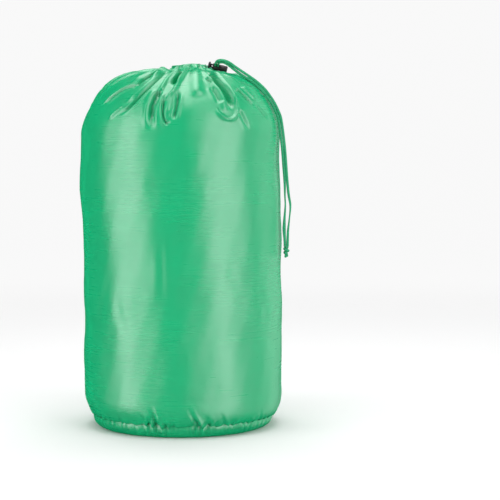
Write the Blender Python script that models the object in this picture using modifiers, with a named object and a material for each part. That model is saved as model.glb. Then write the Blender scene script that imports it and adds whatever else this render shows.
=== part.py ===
"""A camp quilt packed in its drawstring stuff sack.

Units are metres, +Z up. The origin is on the floor at the sack's axis; +X is
towards the cord lock and the hanging tails, and -Y is the front.
"""

import math

import bmesh
import bpy
from mathutils import Matrix, Vector

# ---- driving sizes -------------------------------------------------------

SACK_RADIUS = 0.125
SHOULDER_HEIGHT = 0.365
SHOULDER_RISE = 0.0785
ROOF_INSET = 0.060
NECK_RISE = 0.0017
CLOTH = 0.001
GAP = 0.0003

SEAM_INSET = 0.0085
SEAM_HEIGHT = 0.0103
SEAM_PLAY = 0.0005
BASE_CURL_WIDTH = 0.0125
CORNER_HEIGHT = 0.0257
BINDING_WIDTH = 0.0065
LIFT_WIDTH = 0.030
BINDING_THICKNESS = 0.0008
SIDE_SEAM_MARGIN = 0.005
SIDE_SEAM_SEGMENT = 14

MOUTH_SHIFT = 0.010
SLUMP = 0.0132

CHANNEL_RADIUS = 0.022
CHANNEL_HEIGHT = 0.0115
CHANNEL_CLOTH = 0.0008
CORD_ROOM = 0.0004
CHANNEL_END_ANGLES = (17.0, 329.0)
CHANNEL_END_TRIM = 2.0

CORD_DIAMETER = 0.003
KNOT_RADIUS = 0.0038
KNOT_LENGTH = 0.0137
NUB_SHARE = 0.6

LOCK_OUT = 0.0115
LOCK_SIDE = -0.021
LOCK_LIFT = 0.003
LOCK_DROOP = math.radians(14.0)
LOCK_HOLE_RISE = math.radians(30.0)
LOCK_TRAVEL = 0.004
BUTTON_TRAVEL = 0.003
BARREL_RADIUS = 0.0039
BARREL_END = 0.0138
BARREL_WALL = 0.001
BUTTON_LIP = 0.0006
BUTTON_THICKNESS = 0.0025
SLOT_WEB = 0.0012
SMALL_EDGE = 0.0004
LARGE_EDGE = 0.0007
SPRING_WIRE = 0.0005
SPRING_TURNS = 5

QUILT_CORE_RADIUS = 0.012
QUILT_THICKNESS = 0.0056
QUILT_CLOTH = 0.0005
QUILT_CLOTH_GAP = 0.0004
QUILT_LAYER_GAP = 0.0006
QUILT_CLEARANCE = 0.0006
QUILT_BINDING = 0.001
ROLL_WALL_GAP = 0.0022

WALL_SEGMENTS = 48
ROLL_SEGMENTS = 12
CORD_SIDES_RESOLUTION = 2

# The tails' routes, chosen by hand: out of the channel, through the lock, in
# a low arch on to the shoulder, and down the right side to the knot. The run
# through the lock is straight, and comes from the lock's own sizes.
OUTER_START = [(0.0289, -0.0113, 0.4512), (0.0311, -0.0091, 0.4505), (0.0344, -0.0078, 0.4490),
               (0.0381, -0.0089, 0.4475), (0.0403, -0.0119, 0.4468)]
INNER_START = [(0.0310, 0.0064, 0.4512), (0.0327, 0.0018, 0.4506), (0.0361, -0.0022, 0.4494),
               (0.0404, -0.0057, 0.4476), (0.0434, -0.0105, 0.4464)]
OUTER_FALL = [(0.0448, -0.0323, 0.4570), (0.0487, -0.0355, 0.4580), (0.0538, -0.0367, 0.4574),
              (0.0597, -0.0362, 0.4550), (0.0667, -0.0351, 0.4501), (0.0758, -0.0345, 0.4440),
              (0.0861, -0.0342, 0.4372), (0.0943, -0.0340, 0.4311), (0.1025, -0.0341, 0.4236),
              (0.1088, -0.0342, 0.4158), (0.1156, -0.0343, 0.4055), (0.1205, -0.0344, 0.3953),
              (0.1237, -0.0345, 0.3862), (0.1265, -0.0345, 0.3673), (0.1287, -0.0345, 0.3475),
              (0.1304, -0.0345, 0.3251), (0.1317, -0.0345, 0.3078), (0.1334, -0.0345, 0.2915),
              (0.1355, -0.0345, 0.2778), (0.1341, -0.0345, 0.2604), (0.1327, -0.0345, 0.2480),
              (0.1322, -0.0345, 0.2355), (0.1321, -0.0345, 0.2275)]
INNER_FALL = [(0.0473, -0.0309, 0.4553), (0.0499, -0.0330, 0.4557), (0.0535, -0.0338, 0.4551),
              (0.0590, -0.0340, 0.4520), (0.0650, -0.0340, 0.4472), (0.0736, -0.0341, 0.4409),
              (0.0839, -0.0339, 0.4343), (0.0922, -0.0340, 0.4283), (0.0998, -0.0341, 0.4209),
              (0.1060, -0.0342, 0.4138), (0.1127, -0.0343, 0.4038), (0.1175, -0.0344, 0.3940),
              (0.1205, -0.0345, 0.3855), (0.1231, -0.0345, 0.3668), (0.1254, -0.0345, 0.3472),
              (0.1271, -0.0345, 0.3249), (0.1284, -0.0345, 0.3075), (0.1287, -0.0345, 0.2915),
              (0.1292, -0.0345, 0.2778), (0.1281, -0.0345, 0.2604), (0.1278, -0.0345, 0.2480),
              (0.1286, -0.0345, 0.2355), (0.1288, -0.0345, 0.2275)]
LOCK_LEAD_IN = 0.006
CORD_FINE_STEP = 0.0018
CORD_FINE_LENGTH = 0.045
CORD_COARSE_STEP = 0.0062

# ---- sizes that follow ---------------------------------------------------

ROOF_HEIGHT = SHOULDER_HEIGHT + SHOULDER_RISE
ROOF_RADIUS = SACK_RADIUS - ROOF_INSET
NECK_FOLD_RADIUS = (CHANNEL_RADIUS + ROOF_RADIUS) / 2
SEAM_RADIUS = SACK_RADIUS - SEAM_INSET
BASE_FLAT_RADIUS = SEAM_RADIUS - BASE_CURL_WIDTH
BASE_EDGE_RADIUS = SEAM_RADIUS - SEAM_PLAY
BASE_EDGE_HEIGHT = SEAM_HEIGHT - SEAM_PLAY
FULL_RADIUS_HEIGHT = SEAM_HEIGHT + CORNER_HEIGHT
SIDE_SEAM_BOTTOM = FULL_RADIUS_HEIGHT + SIDE_SEAM_MARGIN
SIDE_SEAM_TOP = SHOULDER_HEIGHT - SIDE_SEAM_MARGIN
CORD_PITCH = CORD_DIAMETER + GAP
SLOT_HALF_LENGTH = CORD_PITCH / 2 + CORD_DIAMETER / 2 + GAP
SLOT_HALF_WIDTH = CORD_DIAMETER / 2 + GAP
BARREL_START = -(SLOT_HALF_LENGTH + SLOT_WEB)
BORE_RADIUS = BARREL_RADIUS - BARREL_WALL
PLUNGER_RADIUS = BORE_RADIUS - GAP
BUTTON_RADIUS = BARREL_RADIUS + BUTTON_LIP
BUTTON_FACE = BARREL_START - BUTTON_TRAVEL - GAP
PLUNGER_END = SLOT_HALF_LENGTH + SLOT_WEB
BORE_END = BARREL_END - BARREL_WALL
CHANNEL_HALF_WIDTH = CORD_DIAMETER / 2 + CORD_ROOM + CHANNEL_CLOTH
CHANNEL_FLOOR = ROOF_HEIGHT + NECK_RISE + GAP
CHANNEL_MIDDLE = CHANNEL_FLOOR + CHANNEL_HEIGHT / 2
ROLL_RADIUS = SACK_RADIUS - CLOTH - ROLL_WALL_GAP
HALF_QUILT = QUILT_THICKNESS / 2
LEG_PITCH = QUILT_THICKNESS + QUILT_LAYER_GAP
ROLL_PITCH = 2 * LEG_PITCH + QUILT_THICKNESS + QUILT_LAYER_GAP
SACK_CENTRE = Vector((0, 0, SHOULDER_HEIGHT / 2))
LOCK_CENTRE = Vector((MOUTH_SHIFT + CHANNEL_RADIUS + LOCK_OUT, LOCK_SIDE,
                      ROOF_HEIGHT + LOCK_LIFT + BARREL_RADIUS))


# ---- helpers -------------------------------------------------------------

def clear_scene():
    for item in list(bpy.data.objects):
        bpy.data.objects.remove(item, do_unlink=True)


def make_collection(name):
    collection = bpy.data.collections.new(name)
    bpy.context.scene.collection.children.link(collection)
    return collection


def make_material(name, colour, roughness, metallic=0.0):
    material = bpy.data.materials.new(name)
    material.use_nodes = True
    shader = material.node_tree.nodes["Principled BSDF"]
    shader.inputs["Base Color"].default_value = (*colour, 1.0)
    shader.inputs["Roughness"].default_value = roughness
    shader.inputs["Metallic"].default_value = metallic
    return material


def add_object(name, mesh, material, collection, smooth=True):
    """Link a mesh as one named part with its own material."""
    item = bpy.data.objects.new(name, mesh)
    mesh.materials.append(material)
    collection.objects.link(item)
    if smooth:
        mesh.shade_smooth()
        mesh.set_sharp_from_angle(angle=math.radians(40))
    return item


def mesh_from(bm, name):
    mesh = bpy.data.meshes.new(name)
    bm.to_mesh(mesh)
    bm.free()
    return mesh


def turned(outline, axis="Z", start=0.0, sweep=360.0, steps=WALL_SEGMENTS, closed=False):
    """Turn an outline of (radius, along) points about Z, or about X, into a bmesh."""
    bm = bmesh.new()
    radial = Vector((math.cos(math.radians(start)), math.sin(math.radians(start)), 0))
    if axis == "X":
        verts = [bm.verts.new((along, 0, radius)) for radius, along in outline]
        turn_axis = Vector((1, 0, 0))
    else:
        verts = [bm.verts.new(radial * radius + Vector((0, 0, along))) for radius, along in outline]
        turn_axis = Vector((0, 0, 1))
    edges = [bm.edges.new(pair) for pair in zip(verts, verts[1:])]
    if closed:
        edges.append(bm.edges.new((verts[-1], verts[0])))
    bmesh.ops.spin(bm, geom=verts + edges, cent=(0, 0, 0), axis=turn_axis,
                   angle=math.radians(sweep), steps=steps, use_duplicate=False)
    bmesh.ops.remove_doubles(bm, verts=bm.verts, dist=1e-6)
    bmesh.ops.dissolve_degenerate(bm, dist=1e-7, edges=bm.edges)
    return bm


def face_out(bm, inside):
    """Turn an open surface's faces away from a point inside it."""
    bmesh.ops.recalc_face_normals(bm, faces=bm.faces)
    bm.normal_update()
    outward = sum(f.normal.dot(f.calc_center_median() - inside) * f.calc_area() for f in bm.faces)
    if outward < 0:
        bmesh.ops.reverse_faces(bm, faces=bm.faces)
    return bm


def thicken(item, thickness):
    """Give an open surface its wall, on the inner side."""
    wall = item.modifiers.new("Cloth", "SOLIDIFY")
    wall.thickness = thickness
    wall.offset = -1
    wall.use_even_offset = True
    return item


def cut(item, cutter):
    slot = item.modifiers.new("Cut", "BOOLEAN")
    slot.operation = "DIFFERENCE"
    slot.object = cutter
    return item


def smooth_step(value):
    value = min(1.0, max(0.0, value))
    return value * value * (3 - 2 * value)


def settle(point):
    """Lean the tied mouth to +X and let the +X shoulder slump."""
    rise = smooth_step((point.z - SHOULDER_HEIGHT) / (ROOF_HEIGHT - SHOULDER_HEIGHT))
    inward = smooth_step(1.6 * (1 - math.hypot(point.x, point.y) / SACK_RADIUS))
    slump = SLUMP * rise * (max(0.0, point.x) / SACK_RADIUS) ** 1.5
    return Vector((point.x + MOUTH_SHIFT * rise * inward, point.y, point.z - slump))


def settled(bm):
    for vert in bm.verts:
        vert.co = settle(vert.co)
    return bm


# ---- the sack's outline --------------------------------------------------

def roof_at(radius):
    """Height of the sack's outer surface over a radius, from the shoulder in."""
    if radius <= ROOF_RADIUS:
        return ROOF_HEIGHT + NECK_RISE * (ROOF_RADIUS - radius) / (ROOF_RADIUS - CHANNEL_RADIUS)
    share = min(1.0, (radius - ROOF_RADIUS) / (SACK_RADIUS - ROOF_RADIUS))
    return SHOULDER_HEIGHT + (ROOF_HEIGHT - SHOULDER_HEIGHT) * math.sqrt(1 - share * share)


def floor_at(radius):
    """Height that clears the base, the bound seam and the wall's lower corner."""
    on_base = CLOTH + QUILT_CLEARANCE
    above_seam = SEAM_HEIGHT + CLOTH + BINDING_THICKNESS + 3 * GAP + QUILT_CLEARANCE
    if radius < BASE_FLAT_RADIUS:
        climb = smooth_step((radius - BASE_FLAT_RADIUS + LIFT_WIDTH) / LIFT_WIDTH)
        return on_base + (above_seam - on_base) * climb
    if radius <= SEAM_RADIUS:
        return above_seam
    share = min(1.0, (radius - SEAM_RADIUS) / (SACK_RADIUS - SEAM_RADIUS))
    corner = (FULL_RADIUS_HEIGHT - SEAM_HEIGHT) * (1 - math.sqrt(1 - share * share))
    return max(above_seam, SEAM_HEIGHT + corner + CLOTH + QUILT_CLEARANCE)


def wall_outline():
    """Neck, roof, elliptical shoulder, straight side and lower corner."""
    points = [(CHANNEL_RADIUS, roof_at(CHANNEL_RADIUS)), (NECK_FOLD_RADIUS, roof_at(NECK_FOLD_RADIUS))]
    for step in range(8):
        turn = math.radians(90 - step * 90 / 7)
        points.append((ROOF_RADIUS + (SACK_RADIUS - ROOF_RADIUS) * math.cos(turn),
                       SHOULDER_HEIGHT + (ROOF_HEIGHT - SHOULDER_HEIGHT) * math.sin(turn)))
    for step in range(4):
        turn = math.radians(90 - step * 30)
        points.append((SEAM_RADIUS + (SACK_RADIUS - SEAM_RADIUS) * math.sin(turn),
                       SEAM_HEIGHT + (FULL_RADIUS_HEIGHT - SEAM_HEIGHT) * (1 - math.cos(turn))))
    return points


def base_outline():
    """Flat disc whose edge curls up to the seam."""
    points = [(0.0, 0.0), (BASE_FLAT_RADIUS / 2, 0.0)]
    for step in range(4):
        turn = math.radians(step * 30)
        points.append((BASE_FLAT_RADIUS + (BASE_EDGE_RADIUS - BASE_FLAT_RADIUS) * math.sin(turn),
                       BASE_EDGE_HEIGHT * (1 - math.cos(turn))))
    return points


# ---- sack ----------------------------------------------------------------

def build_sack(collection, cloth, tape):
    wall = mesh_from(settled(face_out(turned(wall_outline()), SACK_CENTRE)), "sack_wall")
    thicken(add_object("sack_wall", wall, cloth, collection), CLOTH)
    base = mesh_from(face_out(turned(base_outline()), SACK_CENTRE), "sack_base")
    thicken(add_object("sack_base", base, cloth, collection), CLOTH)
    build_base_seam_binding(collection, tape)
    build_side_seam_binding(collection, tape)


def build_base_seam_binding(collection, tape):
    """A flat ring of tape over the seam allowance, inside the lower corner."""
    outer = SEAM_RADIUS - SEAM_PLAY
    low = SEAM_HEIGHT + CLOTH + GAP
    inner = outer - BINDING_WIDTH
    high = low + BINDING_THICKNESS
    outline = [(outer, high), (outer, low), (inner, low), (inner, high)]
    bm = turned(outline, closed=True)
    bmesh.ops.recalc_face_normals(bm, faces=bm.faces)
    add_object("base_seam_binding", mesh_from(bm, "base_seam_binding"), tape, collection)


def build_side_seam_binding(collection, tape):
    """A strip of tape inside the wall, one wall facet wide, at the back."""
    facet = 360 / WALL_SEGMENTS
    radius = SACK_RADIUS - CLOTH - GAP
    bm = turned([(radius, SIDE_SEAM_TOP), (radius, SIDE_SEAM_BOTTOM)],
                start=SIDE_SEAM_SEGMENT * facet, sweep=facet, steps=1)
    mesh = mesh_from(face_out(bm, SACK_CENTRE), "side_seam_binding")
    thicken(add_object("side_seam_binding", mesh, tape, collection), BINDING_THICKNESS)


# ---- drawcord ------------------------------------------------------------

def build_channel(collection, cloth):
    """The hem casing: an oval sleeve bent round the mouth, open at its two ends."""
    half_width = CHANNEL_HALF_WIDTH
    straight = CHANNEL_HEIGHT / 2 - half_width
    oval = []
    for step in range(12):
        turn = math.radians(step * 30 + 15)
        lift = straight if math.sin(turn) > 0 else -straight
        oval.append((CHANNEL_RADIUS + half_width * math.cos(turn),
                     CHANNEL_MIDDLE + lift + half_width * math.sin(turn)))
    first, last = CHANNEL_END_ANGLES
    bm = turned(oval, start=first + CHANNEL_END_TRIM, sweep=last - first - 2 * CHANNEL_END_TRIM,
                steps=26, closed=True)
    bmesh.ops.recalc_face_normals(bm, faces=bm.faces)
    bm.normal_update()
    outward = 0
    for face in bm.faces:
        centre = face.calc_center_median()
        spine = Vector((centre.x, centre.y, 0)).normalized() * CHANNEL_RADIUS
        outward += face.normal.dot(centre - spine - Vector((0, 0, CHANNEL_MIDDLE)))
    if outward < 0:
        bmesh.ops.reverse_faces(bm, faces=bm.faces)
    item = add_object("drawcord_channel", mesh_from(bm, "drawcord_channel"), cloth, collection)
    item.location.x = MOUTH_SHIFT
    thicken(item, CHANNEL_CLOTH)


def cord_object(name, points, material, collection, diameter=CORD_DIAMETER):
    """A round tube with filled caps along a poly line."""
    curve = bpy.data.curves.new(name, "CURVE")
    curve.dimensions = "3D"
    curve.bevel_depth = diameter / 2
    curve.bevel_resolution = CORD_SIDES_RESOLUTION
    curve.render_resolution_u = 0
    curve.use_fill_caps = True
    spline = curve.splines.new("POLY")
    spline.points.add(len(points) - 1)
    for place, point in zip(spline.points, points):
        place.co = (*point, 1.0)
    curve.materials.append(material)
    item = bpy.data.objects.new(name, curve)
    collection.objects.link(item)
    return item


def build_loop(collection, material):
    first, last = CHANNEL_END_ANGLES
    trim = math.degrees(GAP / CHANNEL_RADIUS)
    points = []
    for step in range(31):
        turn = math.radians(first + trim + (last - first - 2 * trim) * step / 30)
        points.append(Vector((MOUTH_SHIFT + CHANNEL_RADIUS * math.cos(turn),
                              CHANNEL_RADIUS * math.sin(turn), CHANNEL_MIDDLE)))
    cord_object("drawcord_loop", points, material, collection)


def smooth_route(points):
    """Catmull-Rom curve through the points, read finely near the lock."""
    points = [Vector(p) for p in points]
    padded = [2 * points[0] - points[1]] + points + [2 * points[-1] - points[-2]]
    dense = []
    for a, b, c, d in zip(padded, padded[1:], padded[2:], padded[3:]):
        for step in range(24):
            t = step / 24
            dense.append(0.5 * (2 * b + (c - a) * t + (2 * a - 5 * b + 4 * c - d) * t * t
                                + (3 * b - a - 3 * c + d) * t ** 3))
    dense.append(points[-1])
    route = [dense[0]]
    travelled = 0.0
    since_last = 0.0
    for start, end in zip(dense, dense[1:]):
        travelled += (end - start).length
        since_last += (end - start).length
        step = CORD_FINE_STEP if travelled < CORD_FINE_LENGTH else CORD_COARSE_STEP
        if since_last >= step:
            route.append(end)
            since_last = 0.0
    if (route[-1] - dense[-1]).length > CORD_FINE_STEP / 2:
        route.append(dense[-1])
    else:
        route[-1] = dense[-1]
    return route


def lock_frame():
    """The lock's own axes: X along the barrel, Z along the cord hole."""
    along = Vector((math.cos(LOCK_DROOP), 0, -math.sin(LOCK_DROOP)))
    above = Vector((math.sin(LOCK_DROOP), 0, math.cos(LOCK_DROOP)))
    hole = math.cos(LOCK_HOLE_RISE) * Vector((0, -1, 0)) + math.sin(LOCK_HOLE_RISE) * above
    across = hole.cross(along)
    turn = Matrix((along, across, hole)).transposed().to_4x4()
    return Matrix.Translation(LOCK_CENTRE) @ turn


def through_lock(side):
    """The straight run of one strand, in and out of the lock's slot."""
    frame = lock_frame()
    lead_out = BARREL_RADIUS + LOCK_TRAVEL + GAP
    places = (-LOCK_LEAD_IN, -BARREL_RADIUS, 0.0, BARREL_RADIUS, lead_out)
    return [frame @ Vector((side * CORD_PITCH / 2, 0, place)) for place in places]


def build_tails(collection, material):
    outer = OUTER_START + through_lock(-1) + OUTER_FALL
    inner = INNER_START + through_lock(1) + INNER_FALL
    cord_object("drawcord_tail_outer", smooth_route(outer), material, collection)
    cord_object("drawcord_tail_inner", smooth_route(inner), material, collection)


def build_knot(collection, material):
    """The two tails' shared overhand knot, with a short nub below it."""
    top = Vector((0, 0, 0))
    top.x = (OUTER_FALL[-1][0] + INNER_FALL[-1][0]) / 2
    top.y = OUTER_FALL[-1][1]
    top.z = OUTER_FALL[-1][2] - GAP
    nub_radius = KNOT_RADIUS * NUB_SHARE
    outline = [(0.0, 0.0), (KNOT_RADIUS * 0.9, 0.0), (KNOT_RADIUS, -KNOT_LENGTH * 0.25),
               (KNOT_RADIUS * 0.9, -KNOT_LENGTH * 0.5), (nub_radius, -KNOT_LENGTH * 0.7),
               (nub_radius, -KNOT_LENGTH), (0.0, -KNOT_LENGTH)]
    bm = turned(outline, steps=16)
    bmesh.ops.recalc_face_normals(bm, faces=bm.faces)
    item = add_object("drawcord_knot", mesh_from(bm, "drawcord_knot"), material, collection)
    item.location = top


# ---- cord lock -----------------------------------------------------------

def slot_cutter(name, start, end, helpers, frame):
    """A stadium-shaped cutter along the cord hole."""
    bm = bmesh.new()
    size = Vector((end - start, 2 * SLOT_HALF_WIDTH, 6 * BARREL_RADIUS))
    bmesh.ops.create_cube(bm, size=1.0, matrix=Matrix.Diagonal((*size, 1.0)))
    upright = [e for e in bm.edges if abs((e.verts[0].co - e.verts[1].co).z) > size.z / 2]
    bmesh.ops.bevel(bm, geom=upright, offset=SLOT_HALF_WIDTH * 0.45, segments=2,
                    affect="EDGES", profile=0.5)
    item = bpy.data.objects.new(name, mesh_from(bm, name))
    item.matrix_world = frame @ Matrix.Translation(((start + end) / 2, 0, 0))
    item.hide_render = True
    item.display_type = "WIRE"
    helpers.objects.link(item)
    return item


def build_lock(collection, helpers, plastic, steel):
    frame = lock_frame()
    barrel = [(0.0, BARREL_END), (BARREL_RADIUS - LARGE_EDGE, BARREL_END),
              (BARREL_RADIUS, BARREL_END - LARGE_EDGE), (BARREL_RADIUS, BARREL_START + SMALL_EDGE),
              (BARREL_RADIUS - SMALL_EDGE, BARREL_START), (BORE_RADIUS, BARREL_START),
              (BORE_RADIUS, BORE_END), (0.0, BORE_END)]
    add_lock_part("lock_barrel", barrel, -SLOT_HALF_LENGTH, SLOT_HALF_LENGTH, frame,
                  collection, helpers, plastic)
    button_back = BUTTON_FACE - BUTTON_THICKNESS
    plunger = [(0.0, PLUNGER_END), (PLUNGER_RADIUS, PLUNGER_END), (PLUNGER_RADIUS, BUTTON_FACE),
               (BUTTON_RADIUS - SMALL_EDGE, BUTTON_FACE), (BUTTON_RADIUS, BUTTON_FACE - SMALL_EDGE),
               (BUTTON_RADIUS, button_back + LARGE_EDGE), (BUTTON_RADIUS - LARGE_EDGE, button_back),
               (0.0, button_back)]
    add_lock_part("lock_plunger", plunger, -SLOT_HALF_LENGTH - BUTTON_TRAVEL, SLOT_HALF_LENGTH,
                  frame, collection, helpers, plastic)
    build_spring(collection, steel, frame)


def add_lock_part(name, outline, slot_start, slot_end, frame, collection, helpers, plastic):
    bm = turned(outline, axis="X", steps=28)
    bmesh.ops.recalc_face_normals(bm, faces=bm.faces)
    item = add_object(name, mesh_from(bm, name), plastic, collection)
    item.matrix_world = frame
    cut(item, slot_cutter(name + "_slot", slot_start, slot_end, helpers, frame))


def build_spring(collection, steel, frame):
    """A compression coil between the plunger's end and the bore's end."""
    start = PLUNGER_END + GAP + SPRING_WIRE / 2
    end = BORE_END - GAP - SPRING_WIRE / 2
    coil_radius = BORE_RADIUS - GAP - SPRING_WIRE / 2
    count = SPRING_TURNS * 10
    points = []
    for step in range(count + 1):
        turn = 2 * math.pi * step / 10
        points.append(frame @ Vector((start + (end - start) * step / count,
                                      coil_radius * math.cos(turn), coil_radius * math.sin(turn))))
    cord_object("lock_spring", points, steel, collection, diameter=SPRING_WIRE)


# ---- quilt ---------------------------------------------------------------

def fold_line(core, offset):
    """One S-folded line of the quilt at a core radius, from the inner leg's top
    to the outer leg's bottom; offset is measured from the quilt's mid line."""
    middle = core + HALF_QUILT
    legs = [middle, middle + LEG_PITCH, middle + 2 * LEG_PITCH]
    bend = LEG_PITCH / 2
    tape_room = QUILT_BINDING + GAP + QUILT_CLEARANCE
    top = roof_at(legs[0] + HALF_QUILT + CLOTH + QUILT_CLEARANCE) - CLOTH - QUILT_CLEARANCE - tape_room
    low = floor_at(legs[1] + HALF_QUILT + CLOTH) + bend + HALF_QUILT
    high = (roof_at(legs[2] + HALF_QUILT + CLOTH + QUILT_CLEARANCE) - CLOTH - 2 * QUILT_CLEARANCE
            - bend - HALF_QUILT)
    bottom = floor_at(legs[2] + HALF_QUILT + CLOTH) + tape_room
    return [(legs[0] + offset, top), (legs[0] + offset, low), (legs[0] + bend, low - bend + offset),
            (legs[1] - offset, low), (legs[1] - offset, high), (legs[1] + bend, high + bend + offset),
            (legs[2] + offset, high), (legs[2] + offset, bottom)]


def layer_section(low_offset, high_offset):
    """Closed section of one layer of the folded quilt."""
    def section(core):
        return fold_line(core, low_offset) + fold_line(core, high_offset)[::-1]
    return section


def tape_section(upper):
    """Closed section of the binding on the quilt's upper or lower long edge."""
    def section(core):
        inner, outer = fold_line(core, -HALF_QUILT), fold_line(core, HALF_QUILT)
        if upper:
            low = inner[0][1] + GAP
            left, right = inner[0][0], outer[0][0]
        else:
            low = inner[-1][1] - GAP - QUILT_BINDING
            left, right = inner[-1][0], outer[-1][0]
        high = low + QUILT_BINDING
        return [(left, low), (right, low), (right, high), (left, high)]
    return section


def rolled(name, section, material, collection):
    """Loft one section along the roll's spiral, with both ends closed."""
    widest = ROLL_RADIUS - QUILT_THICKNESS - 2 * LEG_PITCH
    turns = (widest - QUILT_CORE_RADIUS) / ROLL_PITCH
    stations = round(turns * ROLL_SEGMENTS)
    bm = bmesh.new()
    rings = []
    for station in range(stations + 1):
        core = QUILT_CORE_RADIUS + (widest - QUILT_CORE_RADIUS) * station / stations
        turn = 2 * math.pi * station / ROLL_SEGMENTS
        ring = []
        for radius, height in section(core):
            point = Vector((radius * math.cos(turn), radius * math.sin(turn), height))
            ring.append(bm.verts.new(settle(point)))
        rings.append(ring)
    for near, far in zip(rings, rings[1:]):
        for index in range(len(near)):
            follow = (index + 1) % len(near)
            bm.faces.new((near[index], near[follow], far[follow], far[index]))
    bm.faces.new(rings[0][::-1])
    bm.faces.new(rings[-1])
    bmesh.ops.recalc_face_normals(bm, faces=bm.faces)
    add_object(name, mesh_from(bm, name), material, collection)


def build_quilt(collection, shell, fill, liner, tape):
    cloth_side = HALF_QUILT - QUILT_CLOTH
    fill_side = cloth_side - QUILT_CLOTH_GAP
    rolled("quilt_shell", layer_section(cloth_side, HALF_QUILT), shell, collection)
    rolled("quilt_fill", layer_section(-fill_side, fill_side), fill, collection)
    rolled("quilt_liner", layer_section(-HALF_QUILT, -cloth_side), liner, collection)
    rolled("quilt_edge_binding_upper", tape_section(True), tape, collection)
    rolled("quilt_edge_binding_lower", tape_section(False), tape, collection)


# ---- assembly ------------------------------------------------------------

def main():
    clear_scene()
    parts = make_collection("camp_quilt")
    helpers = make_collection("cutters")
    green = make_material("sack_satin", (0.05, 0.48, 0.22), 0.38)
    tape = make_material("binding_tape", (0.04, 0.36, 0.17), 0.6)
    cord = make_material("drawcord", (0.04, 0.40, 0.19), 0.55)
    black = make_material("lock_plastic", (0.015, 0.015, 0.017), 0.35)
    steel = make_material("spring_steel", (0.6, 0.6, 0.62), 0.3, 1.0)
    shell = make_material("quilt_shell_cloth", (0.07, 0.30, 0.22), 0.6)
    fill = make_material("quilt_fill_sheet", (0.85, 0.85, 0.83), 0.9)
    liner = make_material("quilt_liner_cloth", (0.10, 0.13, 0.14), 0.7)
    build_sack(parts, green, tape)
    build_channel(parts, green)
    build_loop(parts, cord)
    build_tails(parts, cord)
    build_knot(parts, cord)
    build_lock(parts, helpers, black, steel)
    build_quilt(parts, shell, fill, liner, tape)


main()
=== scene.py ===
"""The looks of a camp quilt packed in its drawstring stuff sack.

The fixed frame gives every place; the cloth, cords, stitches and finishes are made here. Lengths are
metres, angles in the fold lists are degrees about the sack's axis, and "run" is a distance along the
cloth from the gathered mouth down towards the base seam.
"""

import math

import bmesh
import bpy
import numpy as np
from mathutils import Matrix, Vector


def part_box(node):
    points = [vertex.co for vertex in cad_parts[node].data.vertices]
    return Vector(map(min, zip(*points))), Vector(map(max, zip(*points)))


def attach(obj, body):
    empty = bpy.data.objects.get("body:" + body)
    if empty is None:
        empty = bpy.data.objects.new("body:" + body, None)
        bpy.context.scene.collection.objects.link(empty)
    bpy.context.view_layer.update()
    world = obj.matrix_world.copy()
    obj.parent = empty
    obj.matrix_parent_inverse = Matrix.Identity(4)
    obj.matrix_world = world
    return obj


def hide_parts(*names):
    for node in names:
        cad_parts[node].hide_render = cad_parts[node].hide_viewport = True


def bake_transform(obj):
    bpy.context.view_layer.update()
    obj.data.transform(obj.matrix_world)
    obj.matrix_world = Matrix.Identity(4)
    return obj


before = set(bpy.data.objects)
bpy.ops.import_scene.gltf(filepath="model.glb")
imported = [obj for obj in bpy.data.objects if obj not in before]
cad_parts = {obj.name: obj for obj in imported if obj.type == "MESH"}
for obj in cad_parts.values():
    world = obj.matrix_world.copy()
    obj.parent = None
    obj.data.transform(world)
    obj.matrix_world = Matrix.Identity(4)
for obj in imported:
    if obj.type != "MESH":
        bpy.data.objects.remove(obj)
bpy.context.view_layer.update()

# ---- sizes read from the frame ---------------------------------------------

WALL_LOW, WALL_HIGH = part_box("sack_wall")
HEM_LOW, HEM_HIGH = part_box("drawcord_channel")
KNOT_LOW, KNOT_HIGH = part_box("drawcord_knot")
RADIUS = (WALL_HIGH.y - WALL_LOW.y) / 2
MOUTH_SHIFT = 0.010
MOUTH_RADIUS = 0.022
ROOF = WALL_HIGH.z - 0.0017
SHOULDER = ROOF - 0.0785
ROOF_RADIUS = RADIUS - 0.060
SEAM_HEIGHT = WALL_LOW.z + 0.0040
SEAM_RADIUS = RADIUS - 0.0105
CORNER_TOP = SEAM_HEIGHT + 0.0277
BASE_FLAT_RADIUS = RADIUS - 0.0215
SLUMP = 0.0132
CLOTH = 0.0005
SIDE_SEAM_ANGLE = 108.0
SIDE_SEAM_HALF = 0.0075

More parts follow.
